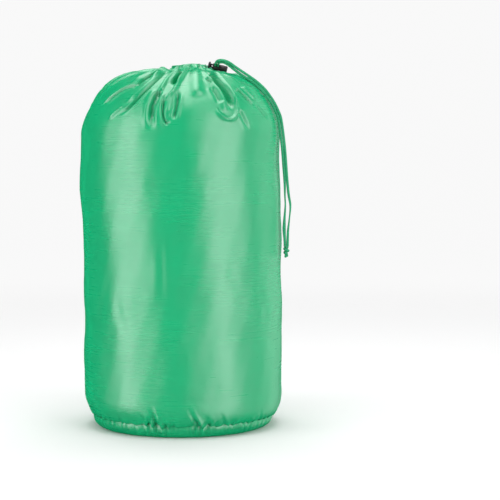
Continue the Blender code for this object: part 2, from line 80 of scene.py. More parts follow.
# The tails' routes, the same as the cord solids'.
LOCK_CENTRE = np.array((0.0435, -0.021, 0.4504))
LOCK_DROOP = math.radians(14.0)
HOLE_RISE = math.radians(30.0)
CORD = 0.003
CORD_WIDE = 0.0033
CORD_THICK = 0.0026
STRAND_PITCH = 0.0033
LOCK_PLACES = (-0.006, -0.0039, 0.0, 0.0039, 0.0082)
OUTER_START = [(0.0289, -0.0113, 0.4512), (0.0311, -0.0091, 0.4505), (0.0344, -0.0078, 0.4490),
               (0.0381, -0.0089, 0.4475), (0.0403, -0.0119, 0.4468)]
INNER_START = [(0.0310, 0.0064, 0.4512), (0.0327, 0.0018, 0.4506), (0.0361, -0.0022, 0.4494),
               (0.0404, -0.0057, 0.4476), (0.0434, -0.0105, 0.4464)]
OUTER_FALL = [(0.0448, -0.0323, 0.4570), (0.0487, -0.0355, 0.4580), (0.0538, -0.0367, 0.4574),
              (0.0597, -0.0362, 0.4550), (0.0667, -0.0351, 0.4501), (0.0758, -0.0345, 0.4440),
              (0.0861, -0.0342, 0.4372), (0.0943, -0.0340, 0.4311), (0.1025, -0.0341, 0.4236),
              (0.1088, -0.0342, 0.4158), (0.1156, -0.0343, 0.4055), (0.1205, -0.0344, 0.3953),
              (0.1237, -0.0345, 0.3862), (0.1265, -0.0345, 0.3673), (0.1287, -0.0345, 0.3475),
              (0.1304, -0.0345, 0.3251), (0.1317, -0.0345, 0.3078), (0.1334, -0.0345, 0.2915),
              (0.1355, -0.0345, 0.2778), (0.1341, -0.0345, 0.2604), (0.1327, -0.0345, 0.2480),
              (0.1322, -0.0345, 0.2355), (0.1321, -0.0345, 0.2275)]
INNER_FALL = [(0.0473, -0.0309, 0.4553), (0.0499, -0.0330, 0.4557), (0.0535, -0.0338, 0.4551),
              (0.0590, -0.0340, 0.4520), (0.0650, -0.0340, 0.4472), (0.0736, -0.0341, 0.4409),
              (0.0839, -0.0339, 0.4343), (0.0922, -0.0340, 0.4283), (0.0998, -0.0341, 0.4209),
              (0.1060, -0.0342, 0.4138), (0.1127, -0.0343, 0.4038), (0.1175, -0.0344, 0.3940),
              (0.1205, -0.0345, 0.3855), (0.1231, -0.0345, 0.3668), (0.1254, -0.0345, 0.3472),
              (0.1271, -0.0345, 0.3249), (0.1284, -0.0345, 0.3075), (0.1287, -0.0345, 0.2915),
              (0.1292, -0.0345, 0.2778), (0.1281, -0.0345, 0.2604), (0.1278, -0.0345, 0.2480),
              (0.1286, -0.0345, 0.2355), (0.1288, -0.0345, 0.2275)]
LOOP_ANGLES = (17.0, 329.0)


# ---- shader maths ----------------------------------------------------------

class Wire:
    """A shader socket. Arithmetic on it adds Math nodes to its finish."""

    def __init__(self, finish, socket):
        self.finish, self.socket = finish, socket

    def maths(self, operation, *values):
        return self.finish.node("ShaderNodeMath", {"operation": operation}, dict(enumerate(values)))

    def __add__(self, other):
        return self.maths("ADD", self, other)

    def __radd__(self, other):
        return self.maths("ADD", other, self)

    def __sub__(self, other):
        return self.maths("SUBTRACT", self, other)

    def __rsub__(self, other):
        return self.maths("SUBTRACT", other, self)

    def __mul__(self, other):
        return self.maths("MULTIPLY", self, other)

    def __rmul__(self, other):
        return self.maths("MULTIPLY", other, self)

    def __pow__(self, other):
        return self.maths("POWER", self, other)

    def sine(self):
        return self.maths("SINE", self)


class Finish:
    """One material. node() adds a node of any type and returns one of its outputs."""

    def __init__(self, name, **constants):
        self.material = bpy.data.materials.new(name)
        self.material.use_nodes = True
        self.tree = self.material.node_tree
        self.shader = self.tree.nodes["Principled BSDF"]
        for socket, value in constants.items():
            self.shader.inputs[socket.replace("_", " ")].default_value = value

    def node(self, kind, settings=None, inputs=None, output=0):
        new = self.tree.nodes.new(kind)
        for name, value in (settings or {}).items():
            setattr(new, name, value)
        for name, value in (inputs or {}).items():
            if isinstance(value, Wire):
                self.tree.links.new(value.socket, new.inputs[name])
            else:
                new.inputs[name].default_value = value
        return Wire(self, new.outputs[output])

    def noise(self, where, scale, detail=2.0, stretch=(1, 1, 1)):
        """A noise from 0 to 1, its coordinates stretched first."""
        where = self.node("ShaderNodeVectorMath", {"operation": "MULTIPLY"}, {0: where, 1: stretch})
        return self.node("ShaderNodeTexNoise", {}, {"Vector": where, "Scale": scale, "Detail": detail})

    def blend(self, share, one, other):
        """A colour between two colours."""
        return self.node("ShaderNodeMix", {"data_type": "RGBA"}, {0: share, 6: one, 7: other}, output=2)

    def bump(self, height, strength, distance):
        """Relief from a height from 0 to 1."""
        inputs = {"Height": height, "Strength": strength, "Distance": distance}
        self.link("Normal", self.node("ShaderNodeBump", {}, inputs))

    def link(self, socket, wire):
        self.tree.links.new(wire.socket, self.shader.inputs[socket])


def colour(red, green, blue):
    return (red, green, blue, 1.0)


def cloth_axes(finish):
    """Distances along the weft and the warp, in metres, from the piece's own UV map."""
    place = finish.node("ShaderNodeUVMap", {"uv_map": "cloth"})
    parts = {axis: finish.node("ShaderNodeSeparateXYZ", {}, {0: place}, output=axis) for axis in (0, 1)}
    return parts[0], parts[1]


def satin_finish(name, light, dark, **constants):
    """Satin-faced polyester: long floats over fine threads, with slubs along the weft."""
    finish = Finish(name, **constants)
    place = finish.node("ShaderNodeTexCoord", output="Object")
    around, along = cloth_axes(finish)
    patches = finish.noise(place, 9.0)
    slubs = finish.noise(place, 3.0, 3.0, (5.0, 5.0, 130.0))
    finish.link("Base Color", finish.blend(patches * 0.6 + slubs * 0.4, light, dark))
    finish.link("Roughness", patches * 0.06 + slubs * 0.06 + 0.22)
    threads = (around * (math.tau / 0.00042)).sine() * 0.5
    floats = ((along * (math.tau / 0.00034)) + around * (math.tau / 0.0017)).sine() * 0.5
    crumple = finish.noise(place, 34.0, 2.0, (1.0, 1.0, 1.6))
    grain = finish.noise(place, 420.0, 2.0, (1.0, 1.0, 2.2))
    finish.bump(threads * 0.1 + floats * 0.1 + slubs * 0.09 + crumple * 1.8 + grain * 0.16, 0.36, 0.00045)
    return finish.material


def tape_finish(name, light, dark):
    """Plain woven binding tape with ribs across it."""
    finish = Finish(name)
    place = finish.node("ShaderNodeTexCoord", output="Object")
    around, along = cloth_axes(finish)
    ribs = (around * (math.tau / 0.0006)).sine() * 0.5 + 0.5
    picks = (along * (math.tau / 0.0004)).sine() * 0.5 + 0.5
    wear = finish.noise(place, 60.0)
    finish.link("Base Color", finish.blend(ribs * 0.5 + wear * 0.5, dark, light))
    finish.link("Roughness", wear * 0.15 + 0.6)
    finish.bump(ribs * 0.7 + picks * 0.3, 0.5, 0.00012)
    return finish.material


def braid_finish(name, light, dark):
    """A braided cord: yarns cross as two sets of slanted waves over the round."""
    finish = Finish(name)
    around, along = cloth_axes(finish)
    left = (around * 6.0 + along * (math.tau / 0.0022)).sine()
    right = (around * 6.0 - along * (math.tau / 0.0022)).sine()
    weave = left * right * 0.5 + 0.5
    strands = (along * (math.tau / 0.0005) + around * 2.0).sine() * 0.5 + 0.5
    finish.link("Base Color", finish.blend(weave, dark, light))
    finish.link("Roughness", weave * -0.1 + 0.6)
    finish.bump(weave * 0.8 + strands * 0.2, 0.6, 0.00025)
    return finish.material


def thread_finish(name, light, dark):
    """Twisted sewing thread, its twist read from Object coordinates."""
    finish = Finish(name)
    place = finish.node("ShaderNodeTexCoord", output="Object")
    twist = finish.noise(place, 1500.0, 1.0)
    finish.link("Base Color", finish.blend(twist, dark, light))
    finish.link("Roughness", twist * 0.2 + 0.45)
    return finish.material


def moulded_finish(name, dark, light):
    """Black moulded plastic, fine spark texture; worn patches are smoother and painted a paler pink sheen."""
    finish = Finish(name, Coat_Roughness=0.3)
    place = finish.node("ShaderNodeTexCoord", output="Object")
    spark = finish.noise(place, 2600.0, 2.0)
    rubbed_and_sheen = finish.noise(place, 260.0, 3.0)
    # The same random patches are smoother, as worn plastic is, and their paler pink is painted sheen.
    finish.link("Base Color", finish.blend(rubbed_and_sheen ** 3.0, dark, light))
    finish.link("Roughness", rubbed_and_sheen * -0.18 + 0.46)
    finish.bump(spark, 0.35, 0.00008)
    return finish.material


def wire_finish(name):
    """Drawn spring wire with fine scratches along it."""
    finish = Finish(name, Metallic=1.0)
    place = finish.node("ShaderNodeTexCoord", output="Object")
    scratches = finish.noise(place, 900.0, 3.0, (1.0, 1.0, 6.0))
    finish.link("Base Color", finish.blend(scratches, colour(0.42, 0.42, 0.44), colour(0.68, 0.68, 0.7)))
    finish.link("Roughness", scratches * 0.2 + 0.2)
    finish.bump(scratches, 0.2, 0.00003)
    return finish.material


def woven_finish(name, light, dark, pitch):
    """A matt plain weave for the quilt's two cloths."""
    finish = Finish(name)
    place = finish.node("ShaderNodeTexCoord", output="Object")
    around, along = cloth_axes(finish)
    weave = (around * (math.tau / pitch)).sine() * (along * (math.tau / pitch)).sine() * 0.5 + 0.5
    patches = finish.noise(place, 25.0)
    finish.link("Base Color", finish.blend(weave * 0.4 + patches * 0.6, dark, light))
    finish.link("Roughness", patches * 0.15 + 0.55)
    finish.bump(weave, 0.4, 0.0001)
    return finish.material


def loft_finish(name):
    """Carded insulation: pale tangled fibre."""
    finish = Finish(name)
    place = finish.node("ShaderNodeTexCoord", output="Object")
    fibres = finish.noise(place, 700.0, 4.0, (1.0, 1.0, 3.0))
    finish.link("Base Color", finish.blend(fibres, colour(0.72, 0.72, 0.7), colour(0.93, 0.93, 0.91)))
    finish.link("Roughness", fibres * 0.1 + 0.85)
    finish.bump(fibres, 0.7, 0.0006)
    return finish.material


# ---- meshes from grids -----------------------------------------------------

def grid_piece(name, points, material, wrap_rows=False, wrap_columns=False, flip=False, cloth=None):
    """A piece from a (rows, columns, 3) grid of points: each cell is a quad, and a wrapped direction
    joins its last line to its first. cloth holds the UV distances, one line longer where it wraps."""
    rows, columns = points.shape[:2]
    index = np.arange(rows * columns).reshape(rows, columns)
    if wrap_columns:
        index = np.hstack([index, index[:, :1]])
    if wrap_rows:
        index = np.vstack([index, index[:1]])
    corners = [index[:-1, :-1], index[:-1, 1:], index[1:, 1:], index[1:, :-1]]
    if flip:
        corners = corners[::-1]
    quads = np.stack(corners, -1).reshape(-1, 4)
    mesh = bpy.data.meshes.new(name)
    mesh.from_pydata(points.reshape(-1, 3).tolist(), [], quads.tolist())
    if cloth is None:
        steps = np.meshgrid(np.arange(index.shape[1]) * 0.001, np.arange(index.shape[0]) * 0.001)
        cloth = np.stack(steps, -1)
    corners = [cloth[:-1, :-1], cloth[:-1, 1:], cloth[1:, 1:], cloth[1:, :-1]]
    if flip:
        corners = corners[::-1]
    layer = mesh.uv_layers.new(name="cloth")
    layer.data.foreach_set("uv", np.stack(corners, -2).astype(np.float32).ravel())
    mesh.shade_smooth()
    mesh.materials.append(material)
    item = bpy.data.objects.new(name, mesh)
    bpy.context.scene.collection.objects.link(item)
    return item


def thicken(item, thickness):
    """Give a cloth its thickness, inwards from the face that shows."""
    wall = item.modifiers.new("Cloth", "SOLIDIFY")
    wall.thickness = thickness
    wall.offset = -1.0
    wall.use_even_offset = False


def weld(item):
    """Merge the points that lie together, such as the ring of equal points at a grid's pole."""
    mesh = bmesh.new()
    mesh.from_mesh(item.data)
    bmesh.ops.remove_doubles(mesh, verts=mesh.verts, dist=1e-6)
    mesh.to_mesh(item.data)
    mesh.free()
    item.data.shade_smooth()


def face_outwards(item):
    mesh = bmesh.new()
    mesh.from_mesh(item.data)
    bmesh.ops.recalc_face_normals(mesh, faces=mesh.faces)
    mesh.to_mesh(item.data)
    mesh.free()


def finish_piece(item, body, slot, *nodes):
    """Ride on a body and stand for the named CAD nodes. The slot is not used."""
    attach(item, body)
    if nodes:
        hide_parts(*nodes)
    return item


def smooth_step(value):
    value = np.clip(value, 0.0, 1.0)
    return value * value * (3 - 2 * value)


def angle_from(angles, centre):
    """Signed degrees from a centre angle, between -180 and 180."""
    return (angles - centre + 180) % 360 - 180


def bell(distance, width):
    """1 on the line, falling to nothing over about two widths."""
    return np.exp(-(distance / width) ** 2)


def smooth_line(points, steps=24):
    """Catmull-Rom curve through the points, as whole arrays of steps on each span."""
    points = np.asarray(points, float)
    padded = np.vstack([2 * points[0] - points[1], points, 2 * points[-1] - points[-2]])
    a, b, c, d = (padded[i:len(padded) - 3 + i, None, :] for i in range(4))
    t = np.linspace(0, 1, steps, endpoint=False)[None, :, None]
    spans = 0.5 * (2 * b + (c - a) * t + (2 * a - 5 * b + 4 * c - d) * t ** 2
                   + (3 * b - a - 3 * c + d) * t ** 3)
    return np.vstack([spans.reshape(-1, points.shape[1]), points[-1:]])


def distances(line):
    """How far along the line each of its points lies."""
    return np.concatenate([[0], np.cumsum(np.linalg.norm(np.diff(line, axis=0), axis=1))])


def read_line(values, travelled, places):
    """Values given at each point of a line, read at other distances along it."""
    return np.stack([np.interp(places, travelled, column) for column in values.T], -1)


def even_line(line, step):
    """The same line, read at equal distances."""
    travelled = distances(line)
    places = np.linspace(0, travelled[-1], max(2, round(travelled[-1] / step) + 1))
    return read_line(line, travelled, places)


def line_length(line):
    return float(distances(line)[-1])


# ---- the sack's cloth ------------------------------------------------------

def settle(points):
    """Lean the gathered mouth to +X and let the +X shoulder slump, as the fixed wall does."""
    rise = smooth_step((points[..., 2] - SHOULDER) / (ROOF - SHOULDER))
    inward = smooth_step(1.6 * (1 - np.hypot(points[..., 0], points[..., 1]) / RADIUS))
    slump = SLUMP * rise * (np.maximum(0.0, points[..., 0]) / RADIUS) ** 1.5
    moved = points.copy()
    moved[..., 0] += MOUTH_SHIFT * rise * inward
    moved[..., 2] -= slump
    return moved


def sack_profile():
    """(radius, height) down the cloth: neck, roof, elliptical shoulder, side, lower corner."""
    quarter = np.linspace(math.pi / 2, 0, 80)
    shoulder = np.stack([ROOF_RADIUS + (RADIUS - ROOF_RADIUS) * np.cos(quarter),
                         SHOULDER + (ROOF - SHOULDER) * np.sin(quarter)], -1)
    corner = np.stack([SEAM_RADIUS + (RADIUS - SEAM_RADIUS) * np.sin(quarter),
                       SEAM_HEIGHT + (CORNER_TOP - SEAM_HEIGHT) * (1 - np.cos(quarter))], -1)
    neck = np.array([[MOUTH_RADIUS + 0.0038, ROOF + 0.0070], [MOUTH_RADIUS + 0.0046, ROOF + 0.0048],
                     [MOUTH_RADIUS + 0.0072, ROOF + 0.0030], [MOUTH_RADIUS + 0.0150, ROOF + 0.0018],
                     [ROOF_RADIUS - 0.0120, ROOF + 0.0009]])
    return np.vstack([neck, shoulder, corner])


PROFILE = sack_profile()
PROFILE_RUN = distances(PROFILE)
CLOTH_RUN = float(PROFILE_RUN[-1])
GATHERED_RUN = 0.164


def radius_at(run):
    return np.interp(run, PROFILE_RUN, PROFILE[:, 0])


def height_at(run):
    return np.interp(run, PROFILE_RUN, PROFILE[:, 1])


# Each fold: its kind, how deep and how wide it is in millimetres, and its line as (angle, run) points.
# A crease sinks between two low lips, a tuck stands on the line's left and hides a shadow under it, and
# a ridge is a raised roll. The front folds' depths and widths are all scaled by the two values here.
FRONT_DEPTH = 1.65
FRONT_WIDTH = 0.82
FRONT_FOLDS = [
    ("crease", 6.5, 3.0, [(-112, 0.040), (-114, 0.056), (-114.5, 0.066), (-118, 0.077), (-123, 0.085)]),
    ("ridge", 1.9, 3.4, [(-119, 0.036), (-121, 0.056), (-124, 0.070), (-130, 0.080)]),
    ("crease", 2.6, 2.2, [(-121, 0.083), (-129, 0.088), (-137, 0.099), (-146.5, 0.117)]),
    ("crease", 2.2, 1.7, [(-106, 0.050), (-107, 0.075), (-112.5, 0.096), (-119.5, 0.1155), (-127, 0.126)]),
    ("ridge", 2.2, 3.2, [(-110, 0.055), (-111, 0.078), (-117, 0.098), (-124, 0.112)]),
    ("ridge", 1.8, 2.2, [(-125, 0.115), (-130, 0.124), (-134, 0.131)]),
    ("crease", 6.5, 3.0, [(-93, 0.046), (-92, 0.058), (-93, 0.0735), (-96, 0.0850)]),
    ("ridge", 2.8, 2.4, [(-89, 0.040), (-90, 0.060), (-91.5, 0.086), (-95, 0.102), (-99, 0.109)]),
    ("ridge", 2.2, 2.6, [(-98, 0.045), (-99, 0.066), (-101, 0.088), (-101.5, 0.098)]),
    ("crease", 4.6, 4.0, [(-102, 0.092), (-104.5, 0.108), (-105.3, 0.122), (-104.5, 0.146)]),
    ("ridge", 3.4, 1.15, [(-101.8, 0.088), (-104.2, 0.108), (-104.9, 0.122), (-104.2, 0.144)]),
    ("crease", 2.4, 1.8, [(-98.6, 0.104), (-98.8, 0.118), (-98.2, 0.1295), (-96.2, 0.136), (-94, 0.132)]),
    ("crease", 2.6, 2.4, [(-92.5, 0.132), (-91.2, 0.120), (-90.5, 0.108), (-90.0, 0.094)]),
    ("ridge", 2.0, 2.8, [(-94.5, 0.098), (-95.5, 0.112), (-96, 0.126)]),
    ("ridge", 2.2, 9.0, [(-80, 0.030), (-80, 0.060), (-79, 0.090), (-78, 0.104)]),
    ("crease", 6.2, 3.8, [(-70, 0.044), (-67, 0.062), (-63.5, 0.078), (-60, 0.092), (-58.4, 0.106),
                          (-58.6, 0.119)]),
    ("ridge", 2.2, 2.6, [(-63, 0.048), (-59.5, 0.066), (-55.8, 0.086), (-54.2, 0.104), (-54.2, 0.117)]),
    ("ridge", 2.2, 2.4, [(-54.4, 0.108), (-54.8, 0.120), (-57.6, 0.1290), (-62.0, 0.1305), (-66.6, 0.1235),
                         (-67.4, 0.114)]),
    ("ridge", 1.2, 4.4, [(-64.0, 0.106), (-62.0, 0.121)]),
    ("crease", 1.8, 3.2, [(-69.0, 0.086), (-66.6, 0.099), (-65.4, 0.110)]),
    ("crease", 2.4, 2.2, [(-71.5, 0.070), (-69.5, 0.076), (-67.5, 0.079)]),
    ("crease", 1.8, 1.8, [(-56, 0.046), (-50, 0.058), (-41, 0.068), (-25, 0.079), (-14, 0.094)]),
    ("crease", 3.4, 2.2, [(-50, 0.084), (-47, 0.0915), (-43.5, 0.100), (-39, 0.111)]),
    ("ridge", 2.0, 3.0, [(-43, 0.078), (-39, 0.090), (-34, 0.104)]),
    ("crease", 1.6, 3.0, [(-53, 0.116), (-51, 0.128), (-47, 0.146)]),
    ("crease", 1.4, 2.6, [(-37, 0.108), (-33, 0.118), (-28, 0.130)]),
    ("ridge", 1.9, 5.5, [(-42, 0.006), (-40, 0.022), (-38, 0.040)]),
    ("ridge", 1.2, 7.0, [(-150, 0.004), (-152, 0.026), (-158, 0.050)]),
    ("ridge", 1.2, 6.0, [(176, 0.004), (178, 0.024), (-176, 0.046)]),
    ("ridge", 3.0, 6.0, [(128, 0.004), (132, 0.022), (140, 0.044)]),
    ("crease", 2.4, 2.4, [(-140, 0.014), (-142, 0.034), (-145, 0.060), (-152, 0.086)]),
    ("crease", 2.0, 2.2, [(-166, 0.010), (-167, 0.036), (-170, 0.068), (-178, 0.100)]),
]
FAINT_CREASE_COUNT = 60
BACK_FOLD_COUNT = 15
BODY_CREASES = [
    ("crease", 0.9, 5.0, [(-128, 0.352), (-124, 0.370), (-119, 0.392)]),
    ("crease", 0.7, 5.0, [(-62, 0.312), (-58, 0.322), (-54, 0.334)]),
    ("crease", 0.6, 4.0, [(-99.5, 0.280), (-99, 0.310), (-99, 0.350)]),
    ("ridge", 0.6, 7.0, [(-120, 0.196), (-112, 0.206), (-106, 0.214)]),
    ("crease", 0.6, 7.0, [(-75, 0.212), (-66, 0.222), (-58, 0.228)]),
    ("crease", 0.7, 6.0, [(-40, 0.340), (-34, 0.362), (-32, 0.380)]),
]


def front_folds():
    return [(kind, FRONT_DEPTH * depth, FRONT_WIDTH * width, line)
            for kind, depth, width, line in FRONT_FOLDS]


def back_folds():
    """Gathers for the sides and back: each starts at the mouth and drifts round as it fades."""
    draw = np.random.default_rng(11)
    first, spread = -8, 224
    folds = []
    for turn in range(BACK_FOLD_COUNT):
        angle = first + turn * spread / BACK_FOLD_COUNT + draw.uniform(-4, 4)
        end = draw.uniform(0.080, 0.150)
        drift = draw.uniform(-11, 11)
        line = [(angle, 0.004), (angle + drift * 0.2, end * 0.4), (angle + drift * 0.5, end * 0.7),
                (angle + drift, end)]
        kind = ("crease", "tuck", "crease")[turn % 3]
        folds.append((kind, draw.uniform(2.0, 4.4), draw.uniform(2.2, 4.0), line))
        beside = [(a + draw.uniform(5, 7), run) for a, run in line]
        folds.append(("ridge", draw.uniform(1.2, 2.6), draw.uniform(3.0, 5.5), beside))
    return folds


def faint_creases():
    """Shallow packing creases over the whole side, most of them near level or slanted."""
    draw = np.random.default_rng(23)
    creases = []
    for _ in range(FAINT_CREASE_COUNT):
        angle, run = draw.uniform(-270, 90), draw.uniform(0.17, CLOTH_RUN - 0.03)
        slant = draw.uniform(-1.2, 1.2)
        reach = draw.uniform(0.008, 0.026)
        across = math.degrees(reach * math.cos(slant) / RADIUS)
        down = reach * math.sin(slant)
        bow = draw.uniform(-0.004, 0.004)
        line = [(angle - across, run - down), (angle, run + bow), (angle + across, run + down)]
        kind = ("crease", "ridge")[draw.integers(2)]
        depth, width = draw.uniform(0.15, 0.42), draw.uniform(2.0, 4.5)
        creases.append((kind, depth, width, line))
    return creases


def fold_relief(angles, runs, fold):
    """How far one fold moves each point of the cloth along its normal, in metres. The nearest place on
    the fold's line gives a signed distance across it and a share along it; the kind shapes the first,
    and both ends fade by the second."""
    kind, depth, width, line = fold
    depth, width = depth / 1000, width / 1000
    line = smooth_line(line, 8)
    middle = line[:, 0].mean()
    across = np.radians(angle_from(angles, middle)) * radius_at(runs)
    track = np.stack([np.radians(line[:, 0] - middle) * radius_at(line[:, 1]), line[:, 1]], -1)
    reach = 5 * width + 0.004
    low, high = track.min(0) - reach, track.max(0) + reach
    near = (across > low[0]) & (across < high[0]) & (runs > low[1]) & (runs < high[1])
    relief = np.zeros_like(runs)
    if not near.any():
        return relief
    here = np.stack([across[near], runs[near]], -1)
    start, ahead = track[:-1], np.diff(track, axis=0)
    length = (ahead ** 2).sum(-1)
    share = np.clip(((here[:, None] - start) * ahead).sum(-1) / length, 0, 1)
    off = here[:, None] - (start + share[..., None] * ahead)
    distance = np.linalg.norm(off, axis=-1)
    best = distance.argmin(1)
    rows = np.arange(len(here))
    side = np.sign(ahead[best, 0] * off[rows, best, 1] - ahead[best, 1] * off[rows, best, 0])
    x = side * distance[rows, best]
    along = (best + share[rows, best]) / len(ahead)
    fade = smooth_step(along / 0.16) * smooth_step((1 - along) / 0.30)
    if kind == "crease":
        shape = -bell(x, width) + 0.28 * bell(np.abs(x) - 2.1 * width, width)
    elif kind == "tuck":
        standing = smooth_step(x / 0.0011 + 0.5) * np.exp(-np.maximum(x, 0) / (1.6 * width))
        shape = 0.75 * standing - 0.6 * bell(x + 0.7 * width, 0.7 * width)
    else:
        shape = bell(x, width)
    relief[near] = depth * fade * shape
    return relief


def seam_puckers(angles, height):
    """Pinches that rise from the base seam: each leans a little and fades upwards. A pinch is a valley
    beside a lower lip, both bells of the distance across it. Two places in front have more and deeper."""
    draw = np.random.default_rng(5)
    bunches = (-107, -76)
    spaced = np.arange(0, 360, 5.6)
    relief = np.zeros_like(angles)
    places = np.concatenate([spaced + draw.uniform(-2, 2, len(spaced))]
                            + [middle + draw.uniform(-7, 7, 4) for middle in bunches])
    for place in places:
        depth, width = draw.uniform(1.0, 2.8) / 1000, draw.uniform(1.4, 3.0) / 1000
        tall, lean = draw.uniform(0.008, 0.024), draw.uniform(-0.6, 0.6)
        strong = 1.5 if min(abs(place - middle) for middle in bunches) < 8 else 1.0
        across = np.radians(angle_from(angles, place)) * SEAM_RADIUS - lean * height
        fade = np.clip(1 - height / (tall * strong), 0, 1)
        relief -= strong * depth * fade * (bell(across, width) - 0.7 * bell(across - 2.0 * width, width))
    return relief


def column_angles(count):
    """Angles round the sack, closer together on the front where the folds are finest."""
    fine = np.linspace(-270, 90, 1441)
    density = 1 + 2.0 * np.exp(-((fine + 88) / 55) ** 2)
    share = np.concatenate([[0], np.cumsum((density[1:] + density[:-1]) / 2)])
    return np.interp(np.linspace(0, share[-1], count + 1), share, fine)[:-1]


def cloth_runs():
    """Distances down the cloth: close over the gathers and the lower corner, wide on the side."""
    dome = np.linspace(0, GATHERED_RUN, 104)
    side = np.linspace(dome[-1], CLOTH_RUN - 0.044, 34)[1:]
    corner = np.linspace(side[-1], CLOTH_RUN, 28)[1:]
    return np.concatenate([dome, side, corner])


def unit_normals(points):
    """Outward unit normals of a grid whose columns wrap round +Z and whose rows run downwards."""
    around = np.roll(points, -1, 1) - np.roll(points, 1, 1)
    down = np.gradient(points, axis=0)
    normal = np.cross(down, around)
    return normal / np.linalg.norm(normal, axis=-1, keepdims=True)


def rim_shift(run, angle):
    """How far the gathered rim is raised in front and lowered at the far left."""
    rise = 0.0040 * bell(run, 0.015) * bell(angle_from(angle, -78), 48)
    return rise - 0.0022 * bell(run, 0.030) * np.clip(np.cos(np.radians(angle) - 2.6), 0, 1)


def gathers(run, turn):
    """Fine pleats at the mouth: two sets of waves round it that fade down the cloth."""
    fade = np.exp(-(run / 0.034) ** 1.4)
    return fade * (0.0013 * np.sin(17 * turn + 2.2 * np.sin(2 * turn)) + 0.0007 * np.sin(31 * turn + 1.7))


def packed_swell(run, angle, z):
    """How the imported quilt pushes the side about: two broad bells and three sets of crossed waves."""
    turn = np.radians(angle)
    swell = 0.0036 * bell(z - 0.315, 0.06) * bell(angle_from(angle, 180), 60)
    swell -= 0.0026 * bell(z - 0.350, 0.045) * bell(angle, 45)
    swell += 0.0010 * np.sin(3 * turn + z * 26 + 0.6) * np.sin(z * 31 + 1.1)
    swell += 0.0008 * np.sin(7 * turn - z * 37 + 2.0) * np.sin(z * 53 + 5 * turn)
    swell += 0.00022 * np.sin(19 * turn + z * 90) * np.sin(z * 170 - 11 * turn)
    return swell * smooth_step((run - 0.09) / 0.06) * smooth_step((CLOTH_RUN - run) / 0.05)


def side_seam_relief(angle, radius):
    """The side seam: a strip that stands a little proud, with a groove along one edge."""
    across = np.radians(angle_from(angle, SIDE_SEAM_ANGLE)) * radius
    strip = smooth_step((SIDE_SEAM_HALF - np.abs(across)) / 0.0022)
    return 0.0009 * strip - 0.0007 * bell(across - SIDE_SEAM_HALF, 0.0012)


def sack_surface(angles, runs):
    """The cloth as a grid: the settled dome and side, moved along its normals by the gathers, the folds,
    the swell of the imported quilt, the side seam, the puckers at the base seam and two hollows on the
    left. The rim itself is held where it is sewn."""
    run, angle = np.meshgrid(runs, angles, indexing="ij")
    radius, turn = radius_at(run), np.radians(angle)
    points = settle(np.stack([radius * np.cos(turn), radius * np.sin(turn), height_at(run)], -1))
    points[..., 2] += rim_shift(run, angle)
    z, above_seam, from_left = points[..., 2], CLOTH_RUN - run, angle_from(angle, 180)
    relief = gathers(run, turn) + packed_swell(run, angle, z) + side_seam_relief(angle, radius)
    relief += seam_puckers(angle, above_seam)
    for fold in front_folds() + BODY_CREASES + back_folds() + faint_creases():
        relief += fold_relief(angle, run, fold)
    relief -= 0.0040 * bell(z - 0.415, 0.030) * bell(from_left, 55)
    relief -= 0.0030 * bell(above_seam - 0.008, 0.016) * bell(from_left, 70)
    sewn = smooth_step(run / 0.004 + 0.15)
    return pressed_by_lock(points + unit_normals(points) * (relief * sewn)[..., None])


def pressed_by_lock(points):
    """The cloth dips under the lock: its height stays below the lock's underside, which is a flat strip
    along the barrel, rising away from it on every side."""
    half_width, half_length, middle, clear_depth, rise = 0.0035, 0.0130, 0.0015, 0.0050, 1.3
    along = lock_axes()[0]
    place = (points[..., 0] - LOCK_CENTRE[0]) / along[0]
    aside = np.maximum(np.abs(points[..., 1] - LOCK_CENTRE[1]) - half_width, 0)
    past = np.maximum(np.abs(place - middle) - half_length, 0)
    underside = LOCK_CENTRE[2] + along[2] * place - clear_depth
    points[..., 2] = np.minimum(points[..., 2], underside + rise * np.hypot(aside, past))
    return points


def cloth_map(angles, runs):
    """UV distances of a wrapped grid of the sack: along the weft at full girth, and down the warp."""
    closed = np.append(angles, angles[0] + 360)
    return np.stack(np.meshgrid(np.radians(closed) * RADIUS, runs), -1)


# ---- pieces of the sack ----------------------------------------------------

def build_wall(material):
    angles, runs = column_angles(290), cloth_runs()
    wall = grid_piece("sack_cloth", sack_surface(angles, runs), material, wrap_columns=True, flip=True,
                      cloth=cloth_map(angles, runs))
    thicken(wall, CLOTH)
    return finish_piece(wall, "sack", "sack_satin", "sack_wall")


def build_base(material):
    """The round base panel. Its edge follows the wall's lower edge: from the flat middle the radius goes
    out by a sine and the height up by one minus a cosine, and the last ring tucks up inside the wall."""
    turns = np.radians(np.linspace(-270, 90, 361)[:-1])
    edge = sack_surface(np.degrees(turns), np.array([CLOTH_RUN - 0.002, CLOTH_RUN]))[1]
    edge_radius, edge_height = np.hypot(edge[:, 0], edge[:, 1]) - 0.0001, edge[:, 2]
    flat = np.linspace(0.0, 1.0, 14)[:, None] * BASE_FLAT_RADIUS + 0 * turns
    quarter = np.linspace(0.06, 1.0, 16)[:, None] * math.pi / 2
    curl, lift = np.sin(quarter), 1 - np.cos(quarter)
    scallop = 0.0005 * curl * np.sin(47 * turns + 2 * np.sin(3 * turns))
    tuck_radius, tuck_height = edge_radius[None] - 0.0009, edge_height[None] + 0.0018
    radius = np.vstack([flat, BASE_FLAT_RADIUS + (edge_radius - BASE_FLAT_RADIUS) * curl, tuck_radius])
    height = np.vstack([0 * flat, (edge_height + scallop) * lift, tuck_height])
    points = np.stack([radius * np.cos(turns), radius * np.sin(turns), height], -1)
    cloth = np.concatenate([points[..., :2], points[:, :1, :2]], 1)
    base = grid_piece("base_panel", points, material, wrap_columns=True, cloth=cloth)
    weld(base)
    thicken(base, CLOTH)
    return finish_piece(base, "sack", "sack_satin", "sack_base")


